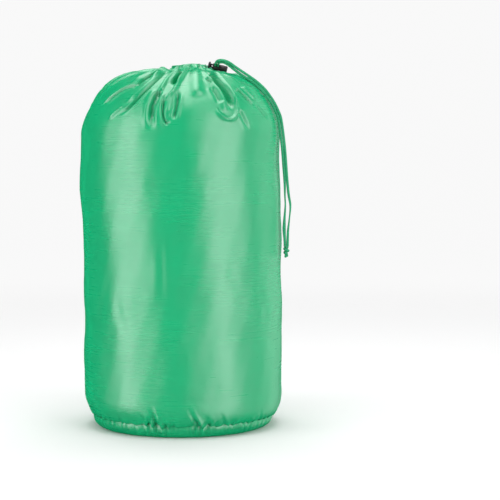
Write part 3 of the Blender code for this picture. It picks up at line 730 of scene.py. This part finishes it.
def hem_point(turn, round_turn):
    """A point on the gathered casing: an oval standing on the neck, ruffled most at its two edges."""
    low, high = HEM_LOW.z - 0.0008, HEM_HIGH.z - 0.0030
    middle, tall = (low + high) / 2, (high - low) / 2
    upward = np.sin(round_turn)
    wide = 0.0024 + 0.0004 * np.cos(9 * turn)
    ruffle = 0.0008 * np.sin(15 * turn + 1.9 * np.sin(2 * turn)) + 0.0003 * np.sin(29 * turn + 0.7)
    lean = 0.0006 + 0.0016 * np.clip(-np.cos(turn), 0, 1)
    radius = MOUTH_RADIUS + wide * np.cos(round_turn) + (ruffle + lean) * upward * np.abs(upward)
    rim = 0.0005 * np.sin(11 * turn + 0.4) + 0.0003 * np.sin(23 * turn)
    height = middle + tall * np.sign(upward) * np.abs(upward) ** 0.8 + rim * np.clip(upward, 0, 1)
    height = height - 0.0058 * smooth_step((0.3 - np.cos(turn)) / 1.3) * np.clip(upward, 0, 1)
    return np.stack([MOUTH_SHIFT + radius * np.cos(turn), radius * np.sin(turn), height], -1)


def build_hem(material):
    """The drawcord casing: a cloth tunnel bent round the mouth and open at its two ends."""
    first, last = LOOP_ANGLES
    stations, ring = 300, 36
    turns = np.radians(np.linspace(first + 2, last - 2, stations))
    rounds = np.radians(np.linspace(0, 360, ring + 1)[:-1])
    turn, around = np.meshgrid(turns, rounds, indexing="ij")
    cloth = np.stack(np.meshgrid(np.linspace(0, 0.026, ring + 1), np.linspace(0, 0.55, stations)), -1)
    hem = grid_piece("gathered_hem", hem_point(turn, around), material, wrap_columns=True, flip=True,
                     cloth=cloth)
    thicken(hem, 0.0004)
    return finish_piece(hem, "sack", "sack_satin", "drawcord_channel")


# ---- stitches --------------------------------------------------------------

THREAD = 0.00032
STITCH_PITCH = 0.0030
STITCH_INSET = 0.0058

def stitch_rows(name, centres, aheads, ups, material, long):
    """One piece of many stitches: each is a small six-sided thread whose ends dip into the cloth."""
    shares = np.linspace(-1, 1, 6)
    turns = np.radians(np.arange(0, 360, 60))
    share, turn = np.meshgrid(shares, turns, indexing="ij")
    fat = THREAD / 2 * np.sqrt(np.clip(1.02 - share ** 2, 0, 1))
    dip = THREAD * (0.45 - 0.9 * share ** 2)
    sides = np.cross(aheads, ups)
    local = (aheads[:, None, None] * (share * long / 2)[None, ..., None]
             + ups[:, None, None] * (fat * np.cos(turn) + dip)[None, ..., None]
             + sides[:, None, None] * (fat * np.sin(turn))[None, ..., None])
    points = (centres[:, None, None] + local).reshape(-1, 3)
    rows, columns = len(shares), len(turns)
    index = np.arange(rows * columns).reshape(rows, columns)
    index = np.hstack([index, index[:, :1]])
    quads = np.stack([index[:-1, :-1], index[1:, :-1], index[1:, 1:], index[:-1, 1:]], -1).reshape(-1, 4)
    starts = np.arange(len(centres)) * rows * columns
    faces = (quads[None] + starts[:, None, None]).reshape(-1, 4).tolist()
    ends = np.arange(columns)
    for start in starts:
        faces += [(start + ends).tolist(), (start + (rows - 1) * columns + ends[::-1]).tolist()]
    mesh = bpy.data.meshes.new(name)
    mesh.from_pydata(points.tolist(), [], faces)
    mesh.shade_smooth()
    mesh.materials.append(material)
    item = bpy.data.objects.new(name, mesh)
    bpy.context.scene.collection.objects.link(item)
    face_outwards(item)
    finish_piece(item, "sack", "sack_satin")


def line_stitches(name, line, outward, material, long=0.0021):
    """Stitches along a line that lies on the cloth. outward gives the cloth's way out at each point."""
    travelled = distances(line)
    places = np.arange(STITCH_PITCH / 2, travelled[-1], STITCH_PITCH)
    centres = read_line(line, travelled, places)
    ahead = read_line(line, travelled, places + 0.0006) - centres
    ahead /= np.linalg.norm(ahead, axis=-1, keepdims=True)
    up = read_line(outward, travelled, places)
    up -= (up * ahead).sum(-1, keepdims=True) * ahead
    up /= np.linalg.norm(up, axis=-1, keepdims=True)
    stitch_rows(name, centres, ahead, up, material, long)


def build_stitches(material):
    """One row round the hem, one round the base seam, and one along each edge of the side seam."""
    turns = np.radians(np.linspace(20, 326, 900))
    outer, line, inner = (hem_point(turns, np.full_like(turns, math.radians(round_turn)))
                          for round_turn in (32, 22, 12))
    line_stitches("hem_stitches", line, np.cross(np.gradient(line, axis=0), outer - inner), material)
    angles = np.linspace(-270, 90, 1201)[:-1]
    seam = sack_surface(angles, CLOTH_RUN - np.array([0.0034, 0.0022, 0.0010]))
    line_stitches("base_seam_stitches", seam[1], unit_normals(seam)[1], material, long=0.0022)
    runs = np.linspace(0.165, CLOTH_RUN - 0.004, 260)
    for name, side in (("side_seam_stitches_left", -STITCH_INSET),
                       ("side_seam_stitches_right", STITCH_INSET)):
        middle = SIDE_SEAM_ANGLE + math.degrees(side / RADIUS)
        strip = sack_surface(middle + np.array([-0.4, 0.0, 0.4]), runs)
        line = strip[:, 1]
        line_stitches(name, line, np.cross(np.gradient(line, axis=0), strip[:, 2] - strip[:, 0]), material)


# ---- cords -----------------------------------------------------------------

def lock_axes():
    """Along the barrel and along the cord hole."""
    along = np.array((math.cos(LOCK_DROOP), 0, -math.sin(LOCK_DROOP)))
    above = np.array((math.sin(LOCK_DROOP), 0, math.cos(LOCK_DROOP)))
    return along, math.cos(HOLE_RISE) * np.array((0, -1, 0)) + math.sin(HOLE_RISE) * above


def through_lock(side):
    along, hole = lock_axes()
    return [tuple(LOCK_CENTRE + side * STRAND_PITCH / 2 * along + place * hole) for place in LOCK_PLACES]


def carried_sides(line, last):
    """A side vector at each point, carried back from the line's end with no twist."""
    tangents = np.gradient(line, axis=0)
    tangents /= np.linalg.norm(tangents, axis=-1, keepdims=True)
    sides = [np.asarray(last, float)]
    for tangent in tangents[::-1]:
        side = sides[-1] - tangent * (sides[-1] @ tangent)
        sides.append(side / np.linalg.norm(side))
    return tangents, np.array(sides[:0:-1])


def cord_cap(ring, centre, way, thick):
    """The two rings that close a cord's end in a low dome: one drawn in, then one shrunk to a point."""
    near = centre + (ring - centre) * 0.62 + way * thick * 0.176
    tip = centre + (ring - centre) * 1e-5 + way * thick * 0.24
    return near, tip


def cord_tube(name, line, wide, thick, last_side, material, widths=1.0):
    """A soft flat cord: a rounded oval carried along the line, closed by low domes. widths scales the
    oval's width at each point."""
    tangents, sides = carried_sides(line, last_side)
    rises = np.cross(tangents, sides)
    turns = np.linspace(0, math.tau, 21)[:-1]
    oval = np.stack([np.sign(np.cos(turns)) * np.abs(np.cos(turns)) ** 0.8 * wide / 2,
                     np.sign(np.sin(turns)) * np.abs(np.sin(turns)) ** 0.8 * thick / 2], -1)
    across = oval[None, :, 0] * (widths * np.ones(len(line)))[:, None]
    rings = line[:, None] + sides[:, None] * across[..., None] + rises[:, None] * oval[None, :, 1:]
    head, head_tip = cord_cap(rings[0], line[0], -tangents[0], thick)
    tail, tail_tip = cord_cap(rings[-1], line[-1], tangents[-1], thick)
    rings = np.concatenate([[head_tip, head], rings, [tail, tail_tip]])
    cloth = np.stack(np.meshgrid(np.linspace(0, math.tau, len(turns) + 1),
                                 np.linspace(0, line_length(line), len(rings))), -1)
    item = grid_piece(name, rings, material, wrap_columns=True, cloth=cloth)
    weld(item)
    return item


def build_tails(material):
    """The two hanging tails. Each is pressed narrow in one place, where it turns edge on."""
    for name, node, start, side, fall in (
            ("cord_tail_far", "drawcord_tail_outer", OUTER_START, -1, OUTER_FALL),
            ("cord_tail_near", "drawcord_tail_inner", INNER_START, 1, INNER_FALL)):
        line = even_line(smooth_line(start + through_lock(side) + fall), 0.0011)
        share = np.linspace(0, 1, len(line))
        widths = 1 - 0.42 * bell(share - (0.88 if side < 0 else 0.82), 0.055)
        if side > 0:
            widths += 0.30 * bell(share - 0.93, 0.03)
        tail = cord_tube(name, line, CORD_WIDE, CORD_THICK, (1, 0, 0), material, widths)
        finish_piece(tail, "sack", "drawcord", node)


def build_loop(material):
    """The cord's run inside the hem."""
    trim = math.degrees(0.0003 / MOUTH_RADIUS)
    turns = np.radians(np.linspace(LOOP_ANGLES[0] + trim, LOOP_ANGLES[1] - trim, 120))
    height = (HEM_LOW.z + HEM_HIGH.z) / 2
    line = np.stack([MOUTH_SHIFT + MOUTH_RADIUS * np.cos(turns), MOUTH_RADIUS * np.sin(turns),
                     np.full_like(turns, height)], -1)
    loop = cord_tube("cord_in_hem", line, CORD, CORD_THICK, (0, 0, 1), material)
    return finish_piece(loop, "sack", "drawcord", "drawcord_loop")


def build_knot(material):
    """The tails' overhand knot as one rope: two turns round the strands, then two short cut ends."""
    top = Vector(((KNOT_LOW.x + KNOT_HIGH.x) / 2, (KNOT_LOW.y + KNOT_HIGH.y) / 2, KNOT_HIGH.z))
    tall = KNOT_HIGH.z - KNOT_LOW.z
    wrap_radius = (KNOT_HIGH.x - KNOT_LOW.x) / 2 - 0.0015
    turn = np.linspace(0, 1.9 * math.tau, 90)
    share = turn / turn[-1]
    spread = wrap_radius * (0.45 + 0.55 * np.sin(np.clip(share * 1.08, 0, 1) * math.pi) ** 0.4)
    wraps = np.stack([top.x + spread * np.cos(turn), top.y + spread * np.sin(turn),
                      top.z - 0.0006 - tall * 0.60 * share], -1)
    first_end = [(top.x - 0.0004, top.y + 0.0006, top.z - tall * 0.66),
                 (top.x - 0.0009, top.y, top.z - tall + 0.0006)]
    line = even_line(smooth_line(np.vstack([wraps[::6], first_end]), 10), 0.0005)
    knot = cord_tube("tail_knot", line, 0.0036, 0.0030, (0, 1, 0), material)
    finish_piece(knot, "sack", "drawcord", "drawcord_knot")
    second_end = [(top.x + 0.0002, top.y - 0.0003, top.z + 0.0004), (top.x, top.y, top.z - tall * 0.4),
                  (top.x + 0.0011, top.y + 0.0003, top.z - tall * 0.74),
                  (top.x + 0.0013, top.y, top.z - tall + 0.0016)]
    line = even_line(smooth_line(second_end), 0.0006)
    end = cord_tube("tail_cut_end", line, 0.0031, CORD_THICK, (0, 1, 0), material)
    finish_piece(end, "sack", "drawcord")
    return knot, end


# ---- bindings, lock and quilt ----------------------------------------------

def build_ring_tape(material):
    """The folded tape over the base seam: an eight-sided section carried round, rippled inside."""
    low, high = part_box("base_seam_binding")
    turns = np.radians(np.linspace(0, 360, 241)[:-1])
    outer, inner, bevel = high.x - 0.0050, high.x - 0.0115, 0.0004
    section = np.array([(outer, 0.15), (outer, 0.85), (outer - bevel, 1.0), (inner + bevel, 1.0),
                        (inner, 0.85), (inner, 0.15), (inner + bevel, 0.0), (outer - bevel, 0.0)])
    inward = (outer - section[:, 0]) / (outer - inner)
    ripple = 0.00025 * np.abs(np.sin(40 * turns)[:, None] * inward)
    height = low.z + 0.0035 + (high.z - low.z) * section[:, 1] + ripple
    around = np.stack([np.cos(turns), np.sin(turns)], -1)[:, None] * section[None, :, :1]
    cloth = np.stack(np.meshgrid(np.linspace(0, 0.015, 9), np.linspace(0, 0.72, 241)), -1)
    ring = grid_piece("base_seam_tape", np.concatenate([around, height[..., None]], -1), material, True, True,
                      flip=True, cloth=cloth)
    finish_piece(ring, "sack", "binding_tape", "base_seam_binding")


def build_strip_tape(material):
    """The tape over the side seam, inside the wall."""
    low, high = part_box("side_seam_binding")
    angles = np.radians(SIDE_SEAM_ANGLE + np.linspace(-2.4, 3.9, 9))
    heights = np.linspace(high.z, low.z, 120)
    height, angle = np.meshgrid(heights, angles, indexing="ij")
    radius = RADIUS - 0.0034 - 0.0002 * np.sin(height * 500)
    points = np.stack([radius * np.cos(angle), radius * np.sin(angle), height], -1)
    cloth = np.stack(np.meshgrid(angles * RADIUS, heights), -1)
    strip = grid_piece("side_seam_tape", points, material, flip=True, cloth=cloth)
    thicken(strip, 0.0006)
    finish_piece(strip, "sack", "binding_tape", "side_seam_binding")


def smooth_copy(name, node, material):
    """A copy of a node's own mesh, merged, and shaded round but for its sharp edges."""
    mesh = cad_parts[node].data.copy()
    mesh.name = name
    mesh.materials.clear()
    mesh.materials.append(material)
    item = bpy.data.objects.new(name, mesh)
    bpy.context.scene.collection.objects.link(item)
    weld(item)
    mesh.set_sharp_from_angle(angle=math.radians(38))
    return item


def build_lock(plastic, steel):
    """The lock's own solids keep their shape, the coil among them."""
    housing = smooth_copy("lock_housing", "lock_barrel", plastic)
    finish_piece(housing, "cord_lock", "lock_plastic", "lock_barrel")
    stem = smooth_copy("lock_button_stem", "lock_plunger", plastic)
    finish_piece(stem, "lock_button", "lock_plastic", "lock_plunger")
    coil = smooth_copy("lock_coil", "lock_spring", steel)
    press_coil(coil)
    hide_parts("lock_spring")


def press_coil(coil):
    """The coil's transform is baked into its points; its shape stays as it is."""
    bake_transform(coil)


def build_grip_ribs(plastic):
    """Fine grip rings moulded round the lock's closed end, each a flat oval carried round the barrel."""
    barrel_radius, rib_height, rib_half_width = 0.0039, 0.00022, 0.00035
    along, hole = lock_axes()
    across = np.cross(hole, along)
    turns = np.radians(np.linspace(0, 360, 41)[:-1])
    rounds = np.radians(np.linspace(0, 360, 9)[:-1])
    turn, around = np.meshgrid(turns, rounds, indexing="ij")
    radius = barrel_radius + rib_height * np.cos(around)
    outward = across * (radius * np.cos(turn))[..., None] + hole * (radius * np.sin(turn))[..., None]
    for number, place in enumerate((0.0068, 0.0083, 0.0098, 0.0113)):
        shift = place + rib_half_width * np.sin(around)
        points = LOCK_CENTRE + along * shift[..., None] + outward
        ring = grid_piece(f"lock_rib_{number + 1}", points, plastic, True, True, flip=True)
        finish_piece(ring, "cord_lock", "lock_plastic")


# ---- the rolled quilt ------------------------------------------------------

HALF_QUILT = 0.0028
LEG_PITCH = 0.0062
CORE_RADIUS = 0.012
ROLL_RADIUS = RADIUS - 0.0062
WIDEST_CORE = ROLL_RADIUS - 2 * HALF_QUILT - 2 * LEG_PITCH
ROLL_TURNS = (WIDEST_CORE - CORE_RADIUS) / (3 * LEG_PITCH)
BINDING_DEPTH = 0.009
QUILTING_PITCH = 0.11
QUILT_STATIONS = 240


def cover_at(radius):
    """Height that clears the sack's pleats from below, over a radius."""
    clear_below, clear_inside = 0.013, 0.007
    share = np.clip((radius + clear_inside - ROOF_RADIUS) / (RADIUS - ROOF_RADIUS), 0, 1)
    return SHOULDER - clear_below + (ROOF - SHOULDER) * np.sqrt(1 - share ** 2)


def ground_at(radius):
    """Height that clears the base panel and its taped seam from above, over a radius."""
    over_corner, over_tape = smooth_step((radius - 0.090) / 0.012), smooth_step((radius - 0.108) / 0.012)
    return 0.0030 + 0.0150 * over_corner + 0.012 * over_tape


def fold_places(core):
    """(leg radii, top, low fold, high fold, bottom) of the quilt's S fold at each core radius."""
    middle = core + HALF_QUILT
    legs = middle[:, None] + LEG_PITCH * np.arange(3)
    bend = LEG_PITCH / 2
    low = ground_at(legs[:, 1] + HALF_QUILT) + bend + HALF_QUILT
    high = cover_at(legs[:, 2] + HALF_QUILT) - bend - HALF_QUILT
    return legs, cover_at(legs[:, 0] + HALF_QUILT), low, high, ground_at(legs[:, 2] + HALF_QUILT)


def edge_pinch(distance):
    """The share of the quilt's thickness left near a long edge, where the tape holds it."""
    return 0.74 + 0.26 * smooth_step(distance / BINDING_DEPTH - 0.7)


def quilt_line(core, offset):
    """(radius, height) along the S fold for each core radius: three legs joined by two half rounds. The
    offset from the mid line is pinched at the long edges and at each row of quilting."""
    legs, top, low, high, bottom = fold_places(core)
    step = np.linspace(0, 1, 22)
    round_turn = np.linspace(0, math.pi, 8)[1:-1]
    pieces = []
    for number, (near, far, sign) in enumerate(((top, low, 1), (low, high, -1), (high, bottom, 1))):
        height = near[:, None] + (far - near)[:, None] * step
        pinch = 1 - 0.30 * bell((height % QUILTING_PITCH) - QUILTING_PITCH / 2, 0.006)
        if number == 0:
            pinch = pinch * edge_pinch(top[:, None] - height)
        if number == 2:
            pinch = pinch * edge_pinch(height - bottom[:, None])
        pieces.append(np.stack([legs[:, number, None] + sign * offset * pinch, height], -1))
        if number < 2:
            fold = LEG_PITCH / 2 - sign * offset
            centre = legs[:, number] + LEG_PITCH / 2
            turn = round_turn if number else -round_turn
            pieces.append(np.stack([centre[:, None] - fold * np.cos(round_turn),
                                    (high if number else low)[:, None] + fold * np.sin(turn)], -1))
    return np.concatenate(pieces, 1)


def roll_up(section):
    """Turn (radius, height) sections, one for each station, into points along the roll's spiral."""
    turn = np.linspace(0, ROLL_TURNS * math.tau, len(section))[:, None]
    radius, height = section[..., 0], section[..., 1]
    return settle(np.stack([radius * np.cos(turn), radius * np.sin(turn), height], -1))


def closed_roll(name, material, one, other):
    """A layer between two section lines, rolled up. Its first and last rows close on their mid line."""
    section = np.concatenate([one, other[:, ::-1]], 1)
    middle = (one + other) / 2
    section[[0, -1]] = np.concatenate([middle, middle[:, ::-1]], 1)[[0, -1]]
    layer = grid_piece(name, roll_up(section), material, wrap_columns=True)
    weld(layer)
    face_outwards(layer)
    return layer


def rolled_layer(name, material, near, far):
    """One layer of the quilt, between two offsets from its mid line."""
    core = np.linspace(CORE_RADIUS, WIDEST_CORE, QUILT_STATIONS)
    return closed_roll(name, material, quilt_line(core, near), quilt_line(core, far))


def quilt_binding(name, material, upper):
    """Tape folded over one long edge of the quilt: an outer U and an inner U as one closed section."""
    core = np.linspace(CORE_RADIUS, WIDEST_CORE, QUILT_STATIONS)
    legs, top, _, _, bottom = fold_places(core)
    middle = (legs[:, 0] if upper else legs[:, 2])[:, None]
    edge, way = (top, 1) if upper else (bottom, -1)
    turn = np.linspace(math.pi, 0, 7)
    sections = []
    for half, rise in ((HALF_QUILT, 0.0012), (HALF_QUILT - 0.0005, 0.0006)):
        across = np.concatenate([[-half], half * np.cos(turn), [half]])
        upward = np.concatenate([[-BINDING_DEPTH], rise * np.sin(turn), [-BINDING_DEPTH]])
        sections.append(np.stack([middle + across, edge[:, None] + way * upward], -1))
    return closed_roll(name, material, *sections)


def build_quilt(shell_cloth, loft, liner_cloth, tape):
    """The quilt folded in three lengthways and rolled: liner inside, fill, shell outside, bound edges."""
    cloth_face = HALF_QUILT - 0.0005
    shell = rolled_layer("quilt_outer_cloth", shell_cloth, cloth_face, HALF_QUILT)
    finish_piece(shell, "sack", "quilt_shell_cloth", "quilt_shell")
    fill = rolled_layer("quilt_insulation", loft, -0.0019, 0.0019)
    finish_piece(fill, "sack", "quilt_fill_sheet", "quilt_fill")
    liner = rolled_layer("quilt_inner_cloth", liner_cloth, -HALF_QUILT, -cloth_face)
    finish_piece(liner, "sack", "quilt_liner_cloth", "quilt_liner")
    for name, node, upper in (("quilt_tape_upper", "quilt_edge_binding_upper", True),
                              ("quilt_tape_lower", "quilt_edge_binding_lower", False)):
        finish_piece(quilt_binding(name, tape, upper), "sack", "binding_tape", node)


# ---- studio ----------------------------------------------------------------

def build_stage():
    """A pale floor that sweeps up into a bright backdrop: flat, a quarter round, then upright."""
    paper = Finish("studio_paper", Roughness=0.8, Emission_Strength=1.0)
    place = paper.node("ShaderNodeTexCoord", output="Object")
    depth = paper.node("ShaderNodeSeparateXYZ", {}, {0: place}, output=1)
    share = paper.node("ShaderNodeMapRange", {"interpolation_type": "SMOOTHSTEP"},
                       {"Value": depth, "From Min": 0.25, "From Max": 2.2})
    black = colour(0, 0, 0)
    paper.link("Base Color", paper.blend(share, colour(0.82, 0.82, 0.82), black))
    paper.link("Emission Color", paper.blend(share, black, colour(0.94, 0.94, 0.94)))
    turn = np.linspace(0, math.pi / 2, 12)
    depths = np.concatenate([[-7.0, 0.0], 3.4 + 1.2 * np.sin(turn), [4.6]])
    heights = np.concatenate([[0.0, 0.0], 1.2 * (1 - np.cos(turn)), [8.0]])
    across = np.array([-8.0, 8.0])
    points = np.stack([np.broadcast_to(across, (len(depths), 2)), np.repeat(depths[:, None], 2, 1),
                       np.repeat(heights[:, None], 2, 1)], -1)
    sweep = grid_piece("studio_paper", points, paper.material)
    sweep.visible_glossy = False
    sweep.visible_shadow = False


def add_light(name, place, aim, size, radiance):
    """A soft rectangular light that faces a point. Its power is its radiance times its area times pi."""
    data = bpy.data.lights.new(name, "AREA")
    data.shape = "RECTANGLE"
    data.size, data.size_y = size
    data.energy = radiance * size[0] * size[1] * math.pi
    item = bpy.data.objects.new(name, data)
    item.location = place
    item.rotation_euler = (Vector(aim) - Vector(place)).to_track_quat("-Z", "Y").to_euler()
    item.visible_camera = False
    bpy.context.scene.collection.objects.link(item)


def ring_light(name, azimuth, wide, radiance):
    """A tall softbox on a ring round the sack. Azimuth 0 is the front, and the right is positive."""
    ring_radius, aim_height, tall = 2.2, 0.35, 3.0
    turn = math.radians(azimuth)
    place = (ring_radius * math.sin(turn), -ring_radius * math.cos(turn), aim_height)
    add_light(name, place, (0, 0, aim_height), (wide, tall), radiance)


def build_lights():
    """Each tall softbox but the left rear one is two or three widths, one on another, so that its edges fade.
    """
    for name, azimuth, widths, radiances in (
            ("left_softbox", -61, (0.95, 1.35, 1.75), (2.8, 2.0, 0.9)),
            ("right_softbox", 51, (1.05, 1.60, 2.15), (2.5, 1.8, 0.8)),
            ("right_rear_softbox", 124, (1.1, 2.2), (0.7, 0.8)),
            ("left_rear_softbox", -146, (0.8,), (0.9,))):
        for number, (wide, radiance) in enumerate(zip(widths, radiances)):
            ring_light(f"{name}_{number + 1}", azimuth, wide, radiance)
    bpy.data.objects["left_rear_softbox_1"].visible_glossy = False
    add_light("overhead_softbox_1", (0.0, -0.15, 2.1), (0, -0.15, 0), (1.3, 2.3), 1.9)
    add_light("overhead_softbox_2", (0.0, -0.15, 2.11), (0, -0.15, 0), (2.0, 2.9), 1.4)
    world = bpy.data.worlds.new("studio_air")
    world.use_nodes = True
    background = world.node_tree.nodes["Background"]
    background.inputs["Color"].default_value = colour(1.0, 1.0, 1.0)
    background.inputs["Strength"].default_value = 0.2
    world.cycles_visibility.glossy = False
    bpy.context.scene.world = world


def build_camera():
    data = bpy.data.cameras.new("camera")
    data.lens = 113
    data.sensor_width = 36
    camera = bpy.data.objects.new("camera", data)
    camera.location = (0.0853, -1.985, 0.357)
    camera.rotation_euler = (math.radians(90 - 3.93), 0, 0)
    bpy.context.scene.collection.objects.link(camera)
    bpy.context.scene.camera = camera
    bpy.context.scene.view_settings.view_transform = "Standard"


# ---- assembly --------------------------------------------------------------

def main():
    satin = satin_finish("green_satin", colour(0.0015, 0.414, 0.166), colour(0.0008, 0.354, 0.140),
                         Specular_IOR_Level=1.0, IOR=1.62)
    braid = braid_finish("green_braid", colour(0.020, 0.42, 0.185), colour(0.008, 0.28, 0.120))
    thread = thread_finish("green_thread", colour(0.02, 0.42, 0.19), colour(0.01, 0.30, 0.13))
    tape = tape_finish("green_tape", colour(0.03, 0.36, 0.17), colour(0.015, 0.24, 0.11))
    # The plastic's second colour, a paler pink, is painted sheen laid on in random patches.
    plastic = moulded_finish("black_plastic", colour(0.013, 0.009, 0.012), colour(0.080, 0.052, 0.066))
    steel = wire_finish("spring_wire")
    shell_cloth = woven_finish("quilt_shell_cloth", colour(0.10, 0.36, 0.26), colour(0.05, 0.25, 0.17),
                               pitch=0.0007)
    liner_cloth = woven_finish("quilt_liner_cloth", colour(0.14, 0.17, 0.18), colour(0.08, 0.10, 0.11),
                               pitch=0.0008)
    wall = build_wall(satin)
    base = build_base(satin)
    hem = build_hem(satin)
    build_stitches(thread)
    knot, cut_end = build_knot(braid)
    build_tails(braid)
    build_loop(braid)
    build_ring_tape(tape)
    build_strip_tape(tape)
    build_lock(plastic, steel)
    build_grip_ribs(plastic)
    build_quilt(shell_cloth, loft_finish("quilt_loft"), liner_cloth, tape)
    build_stage()
    build_lights()
    build_camera()


main()
